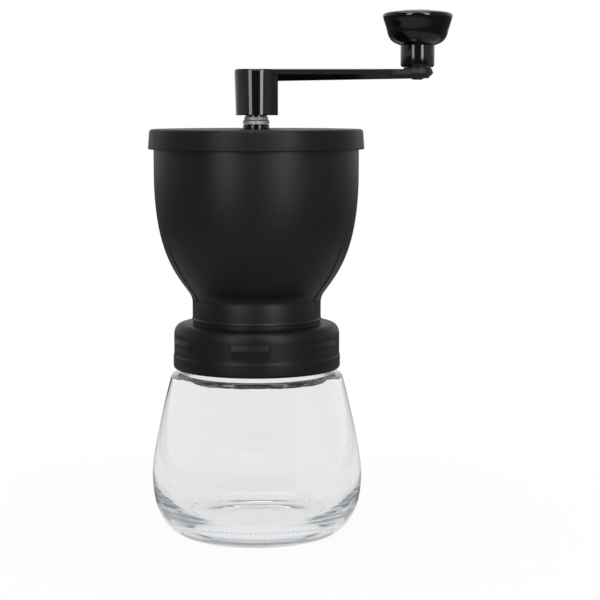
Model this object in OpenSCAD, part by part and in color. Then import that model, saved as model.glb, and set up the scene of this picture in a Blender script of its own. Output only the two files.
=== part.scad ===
// Hand crank coffee grinder: glass jar, screw-on hopper, conical burr mill and side crank.
// Origin: centre of the jar's foot, on the shaft axis. +Z up, the crank arm points along +X.

/* [Jar] */
// Height of the jar, foot to rim
jar_h = 86; // [70:1:110]
// Widest diameter of the jar
jar_d = 88.8; // [80:0.2:110]
// Height of the widest ring above the foot
jar_belly_z = 26; // [20:1:34]
// Diameter across the shoulder corner
jar_shoulder_d = 73; // [71:0.5:76]
// Height of the neck, shoulder to rim
jar_neck_h = 19; // [16:0.5:24]
// Outer diameter of the neck
jar_neck_d = 64; // [63:0.5:66]
// Thickness of the glass wall
jar_wall = 3; // [2.4:0.1:3.6]
// Thickness of the glass floor
jar_floor = 6.5; // [5:0.5:9]
// Outer diameter of the foot ring
foot_d = 60; // [54:1:64]
// Width of the flat foot ring
foot_w = 2.5; // [1.5:0.5:4]
// Rise of the hollow under the floor
punt_h = 2.2; // [1:0.2:3]

/* [Collar and seal] */
// Height of the screw collar
collar_h = 19; // [17:0.5:24]
// Diameter of the screw collar
collar_d = 70; // [69.5:0.5:74]
// Thickness of the collar's top plate
collar_plate = 2; // [1.5:0.1:3]
// Thickness of the silicone seal
seal_t = 2; // [1.5:0.1:3]
// Grip pads round the collar
pad_count = 6; // [4:1:8]
// Width of a grip pad
pad_w = 16; // [10:0.5:18]
// Height of a grip pad
pad_h = 5.2; // [3:0.2:6]
// How far the pads stand out
pad_t = 0.6; // [0.3:0.1:0.8]

/* [Hopper] */
// Widest diameter of the hopper
hopper_d = 85.9; // [78:0.1:104]
// Diameter of the hopper's neck
neck_d = 54.1; // [53.5:0.1:56]
// Height of the straight neck above the collar
neck_h = 8.8; // [8:0.2:12]
// Height of the curved bowl
bowl_h = 50.2; // [40:0.2:62]
// Height of the straight band above the bowl
band_h = 15.4; // [12:0.2:20]
// Wall thickness of the hopper
hopper_wall = 2.2; // [1.8:0.1:2.3]
// Gap between collar and hopper lip
lip_gap = 1.5; // [0.8:0.1:2]
// Angle covered by each of the two shallow panels in the bowl
panel_angle = 130; // [90:5:150]
// Depth of the panels
panel_depth = 0.4; // [0.2:0.05:0.5]
// Thickness of a spider arm
spider_arm_w = 3.6; // [2.6:0.2:4.4]

/* [Lid] */
// Thickness of the lid
lid_t = 2; // [1.6:0.1:3]
// Height of the lid's skirt
lid_skirt_h = 6.3; // [5:0.1:9]
// Overhang of the lid past the hopper
lid_overhang = 2.3; // [1.9:0.1:3.5]

/* [Burrs] */
// Outer diameter of the fixed burr
burr_d = 38; // [35:0.5:38.5]
// Height of the fixed burr
burr_h = 11; // [9.2:0.2:13.2]
// Height of the fine grinding zone
fine_h = 5; // [4:0.2:6]
// Horizontal gap between the burrs at the finest setting
burr_gap = 0.45; // [0.4:0.05:0.8]
// Fine teeth on each burr
fine_teeth = 36; // [24:2:44]
// Coarse flutes on the turning burr
coarse_flutes = 6; // [5:1:7]

/* [Shaft] */
// Diameter of the drive shaft
shaft_d = 7; // [5.8:0.1:8.4]
// Width across the flats of the hexagon drive
drive_af = 6; // [4.8:0.1:6]
// Diameter of the threaded end
thread_d = 5.6; // [4.4:0.1:5.8]
// Diameter of the sleeve round the shaft
sleeve_d = 11.1; // [10.6:0.1:12]

/* [Crank] */
// Distance from the shaft to the knob's axis
crank_r = 67.2; // [54:0.2:84]
// Diameter of the crank's hub
hub_d = 18.2; // [15.2:0.2:22]
// Height of the crank's hub
hub_h = 19.1; // [16:0.1:23]
// Width of the arm
arm_w = 11.2; // [9.2:0.2:13.4]
// Thickness of the arm at the hub
arm_t = 4.9; // [4:0.1:6]
// Thickness of the arm at the knob
arm_tip_t = 3.7; // [3:0.1:4]
// Diameter of the arm's rounded end
arm_end_d = 13.2; // [11:0.2:14]

/* [Knob] */
// Diameter of the knob's rim
knob_d = 29.2; // [24:0.2:35]
// Height of the knob
knob_h = 23.6; // [19.6:0.2:28.4]
// Diameter of the knob's stem
stem_d = 14.2; // [12:0.2:17]
// Height of the knob's straight stem
stem_h = 9; // [7:0.2:11]
// Diameter of the spindle
spindle_d = 6; // [5:0.1:7]

/* [Hidden] */
$fn = 96;

// Clearances
free_fit = 0.4;      // round pieces that pass each other freely
running_fit = 0.07;  // shaft or spindle in its bearing, on the radius
push_fit = 0.05;     // pieces pushed into one another, on the radius
face_gap = 0.1;      // turning faces, along the shaft
flat_fit = 0.1;      // hexagon in its socket, on each flat
eps = 0.01;
cut = 1;             // how far a cutter runs past a face

// Radii
jar_r = jar_d / 2;
jar_neck_r = jar_neck_d / 2;
mouth_r = jar_neck_r - jar_wall - 0.1;
collar_r = collar_d / 2;
collar_in_r = jar_neck_r + 0.8;
hopper_r = hopper_d / 2;
neck_r = neck_d / 2;
neck_in_r = neck_r - hopper_wall;
lip_r = neck_r + 0.3;
groove_r = neck_r - 0.1;
spigot_r = neck_r - 0.6;
sleeve_r = sleeve_d / 2;
sleeve_in_r = sleeve_r - 0.95;
shaft_r = shaft_d / 2;
bush_bore_r = shaft_r + running_fit;
thread_r = thread_d / 2;
burr_r = burr_d / 2;
lid_hole_r = sleeve_r + free_fit;
spindle_r = spindle_d / 2;
spindle_neck_r = spindle_r - 0.5;
hex_hole_r = across_corners(drive_af / 2 + flat_fit);
hub_r = hub_d / 2;
stem_r = stem_d / 2;
knob_r = knob_d / 2;

// Heights, from the jar up
z_rim = jar_h;
z_shoulder = jar_h - jar_neck_h;
z_seat = z_rim + seal_t;
z_collar = z_seat + collar_plate;
z_collar_foot = z_collar - collar_h;
z_lip = z_collar + lip_gap;
z_neck = z_collar + neck_h;
fillet_h = 5;
z_bowl = z_neck + fillet_h;
z_band = z_bowl + bowl_h;
z_hopper = z_band + band_h;
z_lid = z_hopper + lid_t;
bush_stand = 2;
z_bush = z_lid + bush_stand;
shaft_collar_h = 1.75;
spacer_h = 1.2;
z_spacer = z_bush + face_gap + shaft_collar_h;
z_crank = z_spacer + spacer_h;
hub_boss_h = 0.7;
z_hub = z_crank + hub_boss_h;
z_arm = z_hub + hub_h;
washer_h = 0.7;
z_knob = z_arm + washer_h + face_gap;

// Burrs and their housing, from the seat
housing_flange = 3;
housing_lip = 1;
z_housing = z_seat - housing_flange;
z_burr = z_housing + housing_lip;
z_floor = z_burr + burr_h;
z_fine = z_burr + fine_h;
housing_r = mouth_r - free_fit;
cup_in_r = burr_r + push_fit;
cup_r = cup_in_r + 1.45;
screw_count = 3;
screw_turn = 180 / screw_count;
screw_r = 1.25;
screw_head_r = 2.6;
screw_head_h = 1.2;
screw_boss_r = 2.5;
screw_pcd_r = cup_r + screw_boss_r + 0.1;
screw_l = 11;

// Grinding surfaces, as [radius, height]
fine_in_top = burr_r - 4.8;
fine_in_foot = burr_r - 1.7;
throat_r = burr_r - 3;
cone_top_r = 8.4;
cone_top_z = z_fine + 5;
cone_foot_z = z_burr - 1.5;
fine_slant = atan((fine_in_foot - fine_in_top) / fine_h);
coarse_slant = atan((fine_in_top - burr_gap - cone_top_r) / (cone_top_z - z_fine));
throat_slant = atan((throat_r - fine_in_top) / (burr_h - fine_h));

// Bearings in the hopper
bearing_r = 5.2;
spider_hub_r = bearing_r + 2.4;
z_spider = z_floor + 4;
bearing_l = 7;
z_sleeve = z_spider + bearing_l;
sleeve_socket = 3;
bush_flange_h = 1.2;
bush_flange_r = bearing_r + 1.2;
spider_h = 4.5;
spider_arms = 3;

// Pieces on the shaft's lower end, from the bearing down
washer_r = 6.2;
thrust_h = 0.9;
clip_h = 0.8;
clip_groove_r = shaft_r - 0.6;
z_thrust = z_spider - bush_flange_h - face_gap - thrust_h;
z_clip = z_thrust - face_gap - clip_h;
carrier_r = 6.15;
carrier_flange_r = 12;
carrier_flange_h = 2;
carrier_key_count = 3;
z_carrier = cone_foot_z - carrier_flange_h;
z_spring = z_burr + 4;
spring_wire = 0.9;
spring_r = shaft_r + spring_wire / 2 + 0.35;
spring_turns = 5;
nut_h = 6.3;
nut_r = 10.5;
nut_lobes = 8;
insert_af = 9;
z_nut = z_carrier - face_gap - nut_h;
z_shaft_foot = z_nut - 1.5;
z_hex = z_carrier + 0.6;
socket_l = 15.1;
z_shaft_top = z_crank + socket_l - 0.6;

// Points of a quadratic and a cubic curve, and a profile moved sideways by d
function bez2(a, b, c, n) = [
    for (i = [0:n]) let (t = i / n, u = 1 - t)
        a * u * u + 2 * b * t * u + c * t * t
];
function bez3(a, b, c, d, n) = [
    for (i = [0:n]) let (t = i / n, u = 1 - t)
        a * pow(u, 3) + 3 * b * t * u * u + 3 * c * t * t * u + d * pow(t, 3)
];
function reversed(p) = [for (i = [len(p) - 1:-1:0]) p[i]];
function side(p, i) = let (t = p[min(i + 1, len(p) - 1)] - p[max(i - 1, 0)]) [t.y, -t.x] / norm(t);
function moved(p, d) = [for (i = [0:len(p) - 1]) p[i] + d * side(p, i)];

// Corner-to-corner size of a hexagon that is af across its flats
function across_corners(af) = af / cos(30);

// Copies of the children turned round the Z axis
module around(count, start = 0) {
    for (i = [0:count - 1])
        rotate([0, 0, start + i * 360 / count])
            children();
}

// A hole of radius r from below z to above z + h
module hole(r, h, z = 0, sides = $fn) {
    translate([0, 0, z - cut])
        cylinder(r = r, h = h + 2 * cut, $fn = sides);
}

// A flat ring standing on Z = 0
module ring(r_out, r_in, h) {
    difference() {
        cylinder(r = r_out, h = h);
        hole(r_in, h);
    }
}

// Jar outline: heel, side and shoulder outside, and the same inside
heel = bez3([foot_d / 2, 0], [foot_d / 2 + 8, 1.2], [jar_r, jar_belly_z * 0.35], [jar_r, jar_belly_z], 12);
flank = bez3([jar_r, jar_belly_z], [jar_r - 0.2, jar_belly_z + 8],
             [jar_shoulder_d / 2 + 3.9, z_shoulder - 15.2], [jar_shoulder_d / 2, z_shoulder - 0.5], 12);
shoulder = bez2([jar_shoulder_d / 2 - 0.2, z_shoulder + 0.2], [jar_shoulder_d / 2 - 0.9, z_shoulder + 1.1],
                [jar_neck_r + 0.3, z_shoulder + 1.4], 4);
inner_heel = bez3([foot_d / 2 - 6, jar_floor], [foot_d / 2 + 5, jar_floor],
                  [jar_r - jar_wall, jar_belly_z * 0.5], [jar_r - jar_wall, jar_belly_z], 12);
inner_flank = moved(flank, -jar_wall);
inner_shoulder = bez3([jar_shoulder_d / 2 - jar_wall - 0.1, z_shoulder - 1.6],
                      [jar_shoulder_d / 2 - jar_wall - 1.2, z_shoulder + 0.2],
                      [mouth_r, z_shoulder - 0.2], [mouth_r, z_shoulder + 1.4], 6);
punt = bez3([foot_d / 2 - foot_w, 0], [foot_d / 2 - foot_w - 1.5, punt_h * 0.9],
            [foot_d / 4, punt_h], [0, punt_h], 8);

module glass_jar() {
    color([0.78, 0.82, 0.84, 0.35])
        rotate_extrude()
            polygon(concat(
                heel, [for (i = [1:len(flank) - 1]) flank[i]], shoulder,
                [[jar_neck_r, z_shoulder + 2], [jar_neck_r, z_rim - 0.8], [jar_neck_r - 0.8, z_rim]],
                [[mouth_r + 0.8, z_rim], [mouth_r, z_rim - 0.8]],
                reversed(inner_shoulder),
                [for (i = [len(inner_flank) - 2:-1:1]) inner_flank[i]],
                reversed(inner_heel), [[0, jar_floor]],
                reversed(punt)
            ));
}

module jar_seal() {
    color([0.85, 0.85, 0.83])
        translate([0, 0, z_rim])
            ring(collar_in_r - free_fit, mouth_r, seal_t);
}

side_r = collar_r - 0.1;
collar_round = bez3([side_r, z_collar - 5], [side_r, z_collar - 2],
                    [collar_r - 1.4, z_collar], [collar_r - 4.2, z_collar], 7);
band_top = z_collar_foot + 5.6;
pad_z = band_top + 2.3;
pad_turn = -93.4;

module collar_ring() {
    rotate_extrude()
        polygon(concat(
            [[collar_in_r + 0.5, z_collar_foot], [collar_r - 0.5, z_collar_foot]],
            [[collar_r + 0.2, z_collar_foot + 0.8], [collar_r + 0.2, band_top - 0.2]],
            [[side_r, band_top + 0.8]],
            collar_round,
            [[spigot_r + push_fit, z_collar], [spigot_r + push_fit, z_seat]],
            [[collar_in_r, z_seat], [collar_in_r, z_collar_foot + 0.6]]
        ));
}

// Grip pads: one wedge-shaped ring, cut to trapezoids that are wider at the top
module collar_pads() {
    intersection() {
        rotate_extrude()
            polygon([
                [side_r - 0.7, pad_z], [side_r, pad_z], [side_r + pad_t, pad_z + 0.65 * pad_h],
                [side_r, pad_z + pad_h], [side_r - 0.7, pad_z + pad_h]
            ]);
        around(pad_count, pad_turn)
            rotate([90, 0, 90])
                linear_extrude(collar_r + 2)
                    polygon([[-pad_w / 2 + 1, pad_z - 1], [pad_w / 2 - 1, pad_z - 1],
                             [pad_w / 2, pad_z + pad_h + 1], [-pad_w / 2, pad_z + pad_h + 1]]);
    }
}

module jar_collar() {
    color([0.1, 0.1, 0.1]) {
        collar_ring();
        collar_pads();
    }
}

// Hopper outline above the lip, outside and inside
neck_fillet = bez2([neck_r, z_neck], [neck_r, z_neck + fillet_h / 2], [neck_r + 1.95, z_bowl], 4);
bowl = bez3([neck_r + 1.95, z_bowl], [(neck_r + hopper_r) / 2, z_bowl + 0.163 * bowl_h],
            [hopper_r, z_bowl + 0.3625 * bowl_h], [hopper_r, z_band], 18);
bowl_side = concat(neck_fillet, [for (i = [1:len(bowl) - 1]) bowl[i]]);
hopper_out = concat([[neck_r, z_lip + 2]], bowl_side, [[hopper_r, z_hopper]]);
hopper_in = moved(hopper_out, -hopper_wall);
hopper_mid = moved(hopper_out, -hopper_wall / 2);

module hopper_shell() {
    rotate_extrude()
        polygon(concat(
            [[neck_in_r, z_seat], [spigot_r, z_seat], [spigot_r, z_collar], [groove_r, z_collar]],
            [[groove_r, z_lip], [lip_r, z_lip], [lip_r, z_lip + 0.5], [neck_r, z_lip + 1.1]],
            hopper_out,
            reversed(hopper_in)
        ));
}

// Shallow panel at the front and back of the lower bowl, running out to nothing at its top
panel_top = z_bowl + 0.55 * bowl_h;
panel_line = [for (p = bowl_side) if (p.y < panel_top) p];
function panel_in(i) = panel_line[i] - side(panel_line, i) * panel_depth
    * min(1, (panel_line[i].y - z_neck) / 2, (panel_top - panel_line[i].y) / (0.3 * bowl_h));

module bowl_panels() {
    intersection() {
        rotate_extrude()
            polygon(concat(
                [for (i = [0:len(panel_line) - 1]) panel_in(i)],
                [for (p = reversed(panel_line)) p + [cut, 0]]
            ));
        around(2, 90)
            linear_extrude(z_hopper)
                polygon([[0, 0], for (a = panel_angle / 2 * [-1, 0, 1]) 2 * hopper_r * [cos(a), sin(a)]]);
    }
}

// Space inside the middle of the hopper's wall, which trims what is moulded onto it
module hopper_core() {
    rotate_extrude()
        polygon(concat([[0, z_seat], [hopper_mid[0].x, z_seat]], hopper_mid, [[0, z_hopper]]));
}

module hopper_floor() {
    rotate_extrude()
        polygon([
            [throat_r, z_floor], [cup_r + 0.2, z_floor], [neck_in_r + 0.4, z_floor + 3.2],
            [neck_in_r + 8, z_floor + 9], [neck_in_r + 8, z_floor + 12.5], [throat_r, z_floor + 1.8]
        ]);
}

module hopper() {
    color([0.09, 0.09, 0.09])
        difference() {
            union() {
                hopper_shell();
                intersection() {
                    hopper_core();
                    union() {
                        hopper_floor();
                        around(spider_arms)
                            translate([bearing_r + 1, -spider_arm_w / 2, z_spider])
                                cube([hopper_r, spider_arm_w, spider_h]);
                        around(screw_count, screw_turn)
                            translate([screw_pcd_r, 0, z_seat])
                                cylinder(r = screw_boss_r, h = screw_l, $fn = 32);
                    }
                }
                translate([0, 0, z_spider]) cylinder(r = spider_hub_r, h = bearing_l + sleeve_socket);
            }
            bowl_panels();
            hole(bearing_r + push_fit, bearing_l, z_spider);
            translate([0, 0, z_sleeve])
                cylinder(r = sleeve_r + push_fit, h = sleeve_socket + cut);
            around(screw_count, screw_turn)
                translate([screw_pcd_r, 0, z_seat - cut])
                    cylinder(r = screw_r + push_fit, h = screw_l, $fn = 32);
        }
}

module burr_housing() {
    color([0.12, 0.12, 0.12])
        difference() {
            rotate_extrude()
                polygon([
                    [cup_in_r - 1.05, z_housing], [housing_r - 0.5, z_housing], [housing_r, z_housing + 0.5],
                    [housing_r, z_seat], [cup_r, z_seat], [cup_r, z_floor], [cup_in_r, z_floor],
                    [cup_in_r, z_burr], [cup_in_r - 1.05, z_burr]
                ]);
            around(screw_count, screw_turn)
                translate([screw_pcd_r, 0, z_housing]) {
                    hole(screw_r + 0.2, housing_flange, sides = 32);
                    translate([0, 0, -cut])
                        cylinder(r = screw_head_r + 0.2, h = screw_head_h + 0.1 + cut, $fn = 48);
                }
        }
}

module housing_screws() {
    color([0.75, 0.75, 0.77])
        around(screw_count, screw_turn)
            translate([screw_pcd_r, 0, z_housing + 0.1])
                difference() {
                    union() {
                        cylinder(r = screw_head_r, h = screw_head_h, $fn = 48);
                        cylinder(r = screw_r, h = screw_l - 0.5, $fn = 32);
                    }
                    for (a = [0, 90])
                        rotate([0, 0, a]) translate([-1.4, -0.3, -cut]) cube([2.8, 0.6, cut + 0.7]);
                }
}

// One tooth groove: a V-shaped bar laid on a cone at radius r and height z
module groove(r, z, slant, skew, depth, width, length) {
    translate([r, 0, z])
        rotate([0, slant, 0])
            rotate([skew, 0, 0])
                translate([0, 0, -length / 2])
                    linear_extrude(length)
                        polygon([[0, -width / 2], [0.4 * sign(-depth), -width / 2],
                                 [0.4 * sign(-depth), width / 2], [0, width / 2], [depth, 0]]);
}

fine_mid_r = (fine_in_top + fine_in_foot) / 2;
fine_mid_z = z_burr + fine_h / 2;

module outer_burr() {
    color([0.93, 0.92, 0.88])
        difference() {
            rotate_extrude()
                polygon([
                    [fine_in_foot, z_burr], [burr_r, z_burr], [burr_r, z_floor],
                    [throat_r, z_floor], [fine_in_top, z_fine]
                ]);
            around(fine_teeth)
                groove(fine_mid_r, fine_mid_z, -fine_slant, 18, 0.5, 1.1, 9);
            around(coarse_flutes + 2)
                groove((fine_in_top + throat_r) / 2, (z_fine + z_floor) / 2,
                       throat_slant, 25, 1.2, 4, 12);
        }
}

module inner_burr() {
    color([0.95, 0.94, 0.9])
        difference() {
            rotate_extrude()
                polygon([
                    [carrier_r + push_fit, cone_foot_z], [fine_in_foot - burr_gap - 0.6, cone_foot_z],
                    [fine_in_foot - burr_gap, cone_foot_z + 0.6], [fine_in_foot - burr_gap, z_burr],
                    [fine_in_top - burr_gap, z_fine], [cone_top_r, cone_top_z],
                    [carrier_r + push_fit, cone_top_z]
                ]);
            around(fine_teeth)
                groove(fine_mid_r - burr_gap, fine_mid_z, -fine_slant, -18, -0.5, 1.1, 9);
            around(coarse_flutes)
                groove((cone_top_r + fine_in_top - burr_gap) / 2, (z_fine + cone_top_z) / 2,
                       -coarse_slant, -35, -1.5, 3.4, 14);
            carrier_keys(0.1);
        }
}

// Keys on the carrier's flange that turn the burr
module carrier_keys(gap) {
    around(carrier_key_count)
        translate([8, -1.5 - gap, cone_foot_z - eps])
            cube([3 + gap, 3 + 2 * gap, 1.5 + eps + gap]);
}

module burr_carrier() {
    color([0.2, 0.2, 0.2])
        difference() {
            union() {
                translate([0, 0, z_carrier]) {
                    cylinder(r = carrier_r, h = z_spring - z_carrier);
                    cylinder(r = carrier_flange_r, h = carrier_flange_h);
                }
                carrier_keys(0);
            }
            hole(hex_hole_r, z_spring - z_carrier, z_carrier, sides = 6);
        }
}

module lower_bush() {
    color([0.92, 0.92, 0.9])
        difference() {
            union() {
                translate([0, 0, z_spider - bush_flange_h]) cylinder(r = bush_flange_r, h = bush_flange_h);
                translate([0, 0, z_spider]) cylinder(r = bearing_r, h = bearing_l - 0.1);
            }
            hole(bush_bore_r, bearing_l + bush_flange_h, z_spider - bush_flange_h);
        }
}

module shaft_sleeve() {
    color([0.06, 0.06, 0.06])
        translate([0, 0, z_sleeve])
            ring(sleeve_r, sleeve_in_r, z_lid - 0.4 - z_sleeve);
}

upper_bush_l = 8;

module upper_bush() {
    color([0.05, 0.05, 0.05])
        difference() {
            union() {
                translate([0, 0, z_lid - 0.4])
                    rotate_extrude()
                        polygon([
                            [0, 0], [sleeve_r, 0], [sleeve_r, bush_stand],
                            [sleeve_r - 0.4, bush_stand + 0.4], [0, bush_stand + 0.4]
                        ]);
                translate([0, 0, z_lid - 0.4 - upper_bush_l])
                    cylinder(r = sleeve_in_r - push_fit, h = upper_bush_l + 0.2);
            }
            hole(bush_bore_r, upper_bush_l + bush_stand + cut, z_lid - upper_bush_l - cut);
        }
}

lid_top_r = hopper_r + lid_overhang - 0.35;
lid_round = bez2([lid_top_r, z_lid - 1.4], [lid_top_r, z_lid], [lid_top_r - 1.4, z_lid], 4);
lid_in_r = hopper_r + 0.35;
z_lid_foot = z_hopper - lid_skirt_h;
lid_ring_r = hopper_r - hopper_wall - free_fit;

module hopper_lid() {
    color([0.1, 0.1, 0.1])
        rotate_extrude()
            polygon(concat(
                [[lid_hole_r, z_lid - 0.3]],
                [[lid_hole_r, z_hopper - 4], [lid_hole_r + 1.8, z_hopper - 4], [lid_hole_r + 2.2, z_hopper]],
                [[lid_ring_r - 1.6, z_hopper], [lid_ring_r - 1.4, z_hopper - 4.5]],
                [[lid_ring_r - 0.3, z_hopper - 4.5], [lid_ring_r, z_hopper - 4], [lid_ring_r, z_hopper]],
                [[lid_in_r, z_hopper], [lid_in_r + 0.1, z_lid_foot]],
                [[hopper_r + lid_overhang - 0.3, z_lid_foot], [hopper_r + lid_overhang, z_lid_foot + 0.3]],
                lid_round,
                [[lid_hole_r + 0.3, z_lid]]
            ));
}

module drive_shaft() {
    color([0.8, 0.8, 0.82])
        difference() {
            union() {
                translate([0, 0, z_clip - 0.3])
                    cylinder(r = shaft_r, h = z_crank - z_clip + 0.3);
                translate([0, 0, z_hex])
                    cylinder(d = across_corners(drive_af), h = z_clip - z_hex, $fn = 6);
                translate([0, 0, z_shaft_foot])
                    cylinder(r = thread_r, h = z_hex - z_shaft_foot + 1);
                translate([0, 0, z_spacer])
                    cylinder(d = across_corners(drive_af), h = z_shaft_top - z_spacer, $fn = 6);
            }
            translate([0, 0, z_clip - 0.05])
                ring(shaft_r + cut, clip_groove_r, clip_h + 0.1);
        }
}

module shaft_collar() {
    color([0.82, 0.82, 0.84])
        translate([0, 0, z_bush + face_gap])
            difference() {
                rotate_extrude()
                    polygon([[0, 0], [sleeve_r, 0], [sleeve_r, shaft_collar_h - 0.5],
                             [sleeve_r - 0.5, shaft_collar_h], [0, shaft_collar_h]]);
                hole(shaft_r + push_fit, shaft_collar_h);
            }
}

module spacer_washer() {
    color([0.7, 0.7, 0.72])
        translate([0, 0, z_spacer])
            ring(sleeve_r - 0.55, shaft_r + push_fit, spacer_h);
}

module thrust_washer() {
    color([0.78, 0.78, 0.8])
        translate([0, 0, z_thrust])
            ring(washer_r, shaft_r + push_fit, thrust_h);
}

module retaining_clip() {
    color([0.6, 0.6, 0.62])
        translate([0, 0, z_clip])
            linear_extrude(clip_h)
                difference() {
                    circle(r = washer_r - 0.9);
                    circle(r = clip_groove_r + push_fit);
                    translate([0, -clip_groove_r * 0.85]) square([washer_r, clip_groove_r * 1.7]);
                    for (a = [110, 250])
                        rotate([0, 0, a]) translate([washer_r - 1.2, 0]) circle(r = 0.8, $fn = 24);
                }
}

// Coil spring swept along its helix: rings of points joined by quads
spring_steps = 20;
spring_rings = spring_turns * spring_steps;
spring_z0 = z_spring + spring_wire / 2 + 0.05;
spring_z1 = z_clip - spring_wire / 2 - 0.05;
spring_sides = 8;
function spring_index(i, j) = i * spring_sides + j % spring_sides;
function spring_point(i, j) = let (
    a = i * 360 / spring_steps,
    b = j * 360 / spring_sides,
    r = spring_r + spring_wire / 2 * cos(b)
) [r * cos(a), r * sin(a), spring_z0 + (spring_z1 - spring_z0) * i / spring_rings + spring_wire / 2 * sin(b)];

module burr_spring() {
    color([0.7, 0.7, 0.7])
        polyhedron(
            points = [for (i = [0:spring_rings], j = [0:spring_sides - 1]) spring_point(i, j)],
            faces = concat(
                [[for (j = [0:spring_sides - 1]) spring_index(0, j)]],
                [[for (j = [spring_sides - 1:-1:0]) spring_index(spring_rings, j)]],
                [
                    for (i = [0:spring_rings - 1], j = [0:spring_sides - 1]) [
                        spring_index(i, j + 1), spring_index(i, j),
                        spring_index(i + 1, j), spring_index(i + 1, j + 1)
                    ]
                ]
            )
        );
}

module adjusting_nut() {
    color([0.12, 0.12, 0.12])
        translate([0, 0, z_nut])
            difference() {
                rotate_extrude()
                    polygon([
                        [0, 0], [nut_r - 0.8, 0], [nut_r, 0.8],
                        [nut_r, nut_h - 1.2], [nut_r - 1.2, nut_h], [0, nut_h]
                    ]);
                around(nut_lobes)
                    translate([nut_r + 1.2, 0, -cut]) cylinder(r = 2.6, h = nut_h + 2 * cut, $fn = 32);
                hole(across_corners(insert_af / 2 + push_fit), nut_h, sides = 6);
            }
}

module nut_insert() {
    color([0.8, 0.65, 0.3])
        translate([0, 0, z_nut])
            difference() {
                cylinder(d = across_corners(insert_af), h = nut_h, $fn = 6);
                hole(thread_r + running_fit, nut_h);
            }
}

// Half sections of the arm and of its round end, running below the arm's underside
function bevelled(r, edge, side_h, edge_h) = [
    [0, z_arm], [r - edge, z_arm], [r, z_arm - edge_h], [r, z_arm - side_h],
    [r + side_h - arm_t - 1, z_arm - arm_t - 1], [0, z_arm - arm_t - 1]
];
arm_half = bevelled(arm_w / 2, 0.4, 0.45 * arm_t, 0.4);
arm_section = concat(arm_half, [for (p = reversed(arm_half)) if (p.x > 0) [-p.x, p.y]]);
arm_end_r = arm_end_d / 2;
crank_end = crank_r + arm_end_r;

// The arm's section run along X with its end turned round the knob's axis, cut to the tapered side view
module arm_bar() {
    intersection() {
        union() {
            rotate([90, 0, 90])
                linear_extrude(crank_r)
                    polygon(arm_section);
            translate([crank_r, 0, 0])
                rotate_extrude()
                    polygon(bevelled(arm_end_r, 0.5, 1.7, 1.5));
        }
        rotate([90, 0, 0])
            translate([0, 0, -arm_end_d])
                linear_extrude(2 * arm_end_d)
                    polygon([
                        [0, z_arm - arm_t], [hub_r, z_arm - arm_t], [crank_end + cut, z_arm - arm_tip_t],
                        [crank_end + cut, z_arm + cut], [0, z_arm + cut]
                    ]);
    }
}

crank_foot_r = sleeve_r - 0.95;

// Tapered hub with the square shoulder that the arm grows from
module crank_hub() {
    rotate_extrude()
        polygon([
            [0, z_crank], [crank_foot_r, z_crank], [crank_foot_r, z_hub], [hub_r - 0.8, z_hub],
            [hub_r - 0.6, z_hub + 0.3], [hub_r, z_arm - 0.6], [hub_r - 0.6, z_arm], [0, z_arm]
        ]);
    translate([0, 0.3 - arm_w / 2, z_hub])
        cube([hub_r, arm_w - 0.6, hub_h - 0.5]);
}

module crank_arm() {
    color([0.05, 0.05, 0.05])
        difference() {
            union() {
                crank_hub();
                arm_bar();
            }
            translate([0, 0, z_crank - cut])
                cylinder(r = hex_hole_r, h = socket_l + cut, $fn = 6);
            translate([crank_r, 0, 0])
                hole(spindle_neck_r + push_fit, arm_t, z_arm - arm_t);
        }
}

rivet_h = 0.5;
rivet_z = z_arm - arm_tip_t - 0.2;
spindle_top = z_knob + knob_h * 0.62;
spindle_head_r = spindle_r + 1.4;

module knob_spindle() {
    color([0.15, 0.15, 0.15])
        translate([crank_r, 0, 0])
            rotate_extrude()
                polygon([
                    [0, rivet_z - rivet_h], [spindle_r - 1.4, rivet_z - rivet_h],
                    [spindle_r - 0.6, rivet_z - 0.2], [spindle_neck_r, rivet_z],
                    [spindle_neck_r, z_arm], [spindle_r, z_arm], [spindle_r, spindle_top],
                    [spindle_head_r, spindle_top], [spindle_head_r, spindle_top + 1],
                    [spindle_head_r - 0.8, spindle_top + 1.4], [0, spindle_top + 1.4]
                ]);
}

module knob_washer() {
    color([0.08, 0.08, 0.08])
        translate([crank_r, 0, z_arm])
            ring(stem_r - 1.3, spindle_r + push_fit, washer_h);
}

knob_top = z_knob + knob_h;
z_stem = z_knob + stem_h;
knob_edge = knob_top - 2.4;
cap_r = 0.48 * knob_r;
z_cap = knob_top - 3.6;
pocket_r = spindle_r + 2;
knob_flare = bez3([stem_r, z_stem], [stem_r + 2.6, z_stem + 0.9], [0.8 * knob_r, z_stem + 1.6],
                  [0.87 * knob_r, z_stem + 5.5], 9);
knob_crest = bez3([knob_r, knob_edge], [knob_r - 0.1, knob_edge + 1.4], [0.8 * knob_r, knob_top - 0.6],
                  [cap_r + 0.5, knob_top - 0.4], 8);

module knob() {
    color([0.05, 0.05, 0.05])
        translate([crank_r, 0, 0])
            rotate_extrude()
                polygon(concat(
                    [[spindle_r + running_fit, z_knob], [stem_r - 0.7, z_knob], [stem_r, z_knob + 0.9]],
                    knob_flare,
                    knob_crest,
                    [[cap_r + push_fit, knob_top - 0.9], [cap_r + push_fit, z_cap], [pocket_r, z_cap]],
                    [[pocket_r, spindle_top - face_gap], [spindle_r + running_fit, spindle_top - face_gap]]
                ));
}

module knob_cap() {
    color([0.06, 0.06, 0.06])
        translate([crank_r, 0, 0])
            rotate_extrude()
                polygon(concat([[0, z_cap], [cap_r, z_cap], [cap_r, knob_top - 0.6]],
                               bez2([cap_r - 0.4, knob_top - 0.2], [cap_r / 2, knob_top], [0, knob_top], 6)));
}

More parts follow.
